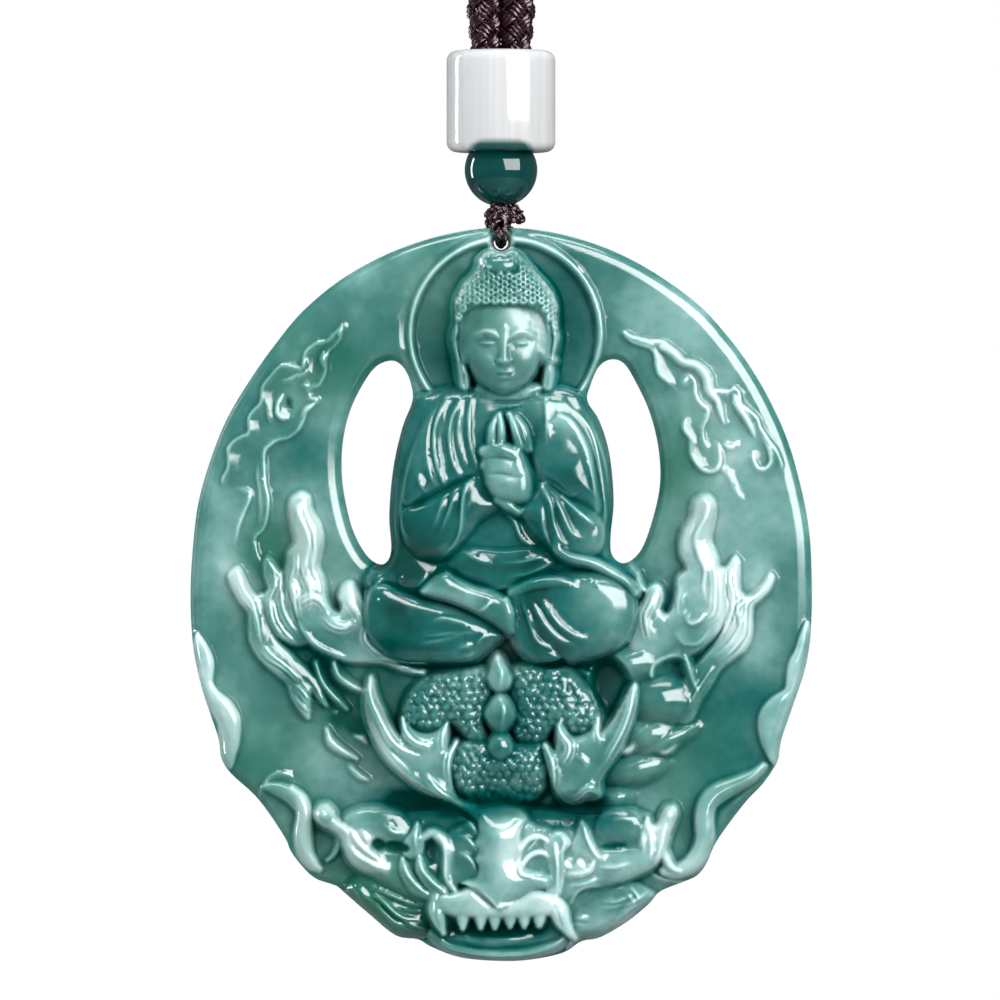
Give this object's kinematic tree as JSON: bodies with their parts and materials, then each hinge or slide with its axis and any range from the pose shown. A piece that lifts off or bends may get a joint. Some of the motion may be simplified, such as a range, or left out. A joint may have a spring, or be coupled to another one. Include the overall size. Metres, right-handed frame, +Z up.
{
  "type": "jade buddha pendant",
  "caption": "Carved oval jade pendant of a seated buddha over a dragon, on a knotted thread with a round bead, a barrel bead and a braided neck cord.",
  "frame": {"origin": "inside top of the neck cord's loop, where the necklace hangs on a neck", "axes": "+X to the wearer's left as the carving is seen from the front, -Y out of the carved face, +Z up"},
  "size_m": [0.1224, 0.0125, 0.342],
  "materials": {
    "carved_jade": "polished",
    "green_bead_stone": "polished",
    "white_bead_stone": "polished",
    "dark_thread": "satin",
    "dark_braid": "satin"
  },
  "bodies": {
    "necklace": {"neck_cord": "dark_braid", "barrel_bead": "white_bead_stone", "round_bead": "green_bead_stone", "hanging_loop": "dark_thread"},
    "pendant": {"jade_plaque": "carved_jade"}
  },
  "joints": [
    {"name": "pendant_swing", "type": "hinge", "parent": "necklace", "child": "pendant", "pos_m": [0, 0, -0.27299], "axis": [1, 0, 0], "range_deg": [-15, 15]}
  ]
}
